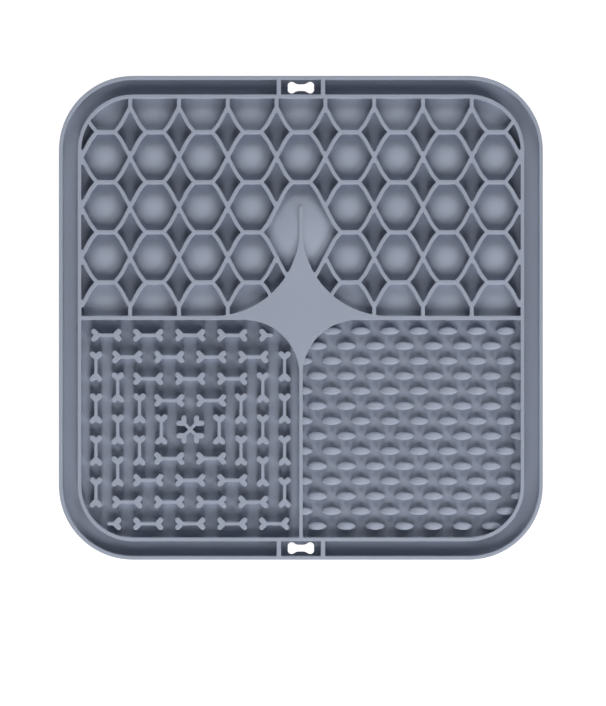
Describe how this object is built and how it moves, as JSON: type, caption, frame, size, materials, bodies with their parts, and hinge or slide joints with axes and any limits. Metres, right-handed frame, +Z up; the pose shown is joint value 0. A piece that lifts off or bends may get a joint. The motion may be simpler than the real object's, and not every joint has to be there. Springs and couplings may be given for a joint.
{
  "type": "lick mat",
  "caption": "Square silicone lick mat with honeycomb, bone and oval-nub zones around a central star, a spill channel, hanging slots and suction cups.",
  "frame": {"origin": "middle of the mat's footprint, on the plane of the suction cups' lips", "axes": "+Z up out of the textured face, +Y towards the edge above the honeycomb zone, +X towards the oval-nub side"},
  "size_m": [0.2, 0.2, 0.01],
  "materials": {
    "silicone": "matte moulded silicone, cool grey-blue"
  },
  "bodies": {
    "root": {"base_sheet": "silicone", "top_hanging_tab": "silicone", "bottom_hanging_tab": "silicone", "outer_rim": "silicone", "inner_rim": "silicone", "top_tab_ribs": "silicone", "bottom_tab_ribs": "silicone", "left_divider": "silicone", "right_divider": "silicone", "lower_divider": "silicone", "centre_star": "silicone", "honeycomb_bars": "silicone", "honeycomb_rising_ribs": "silicone", "honeycomb_falling_ribs": "silicone", "honeycomb_stubs": "silicone", "cell_domes": "silicone", "cut_cell_domes": "silicone", "pocket_dome": "silicone", "bones_across": "silicone", "bones_upright": "silicone", "crossed_bones": "silicone", "half_bones": "silicone", "oval_nubs": "silicone", "suction_cups": "silicone"}
  },
  "joints": []
}
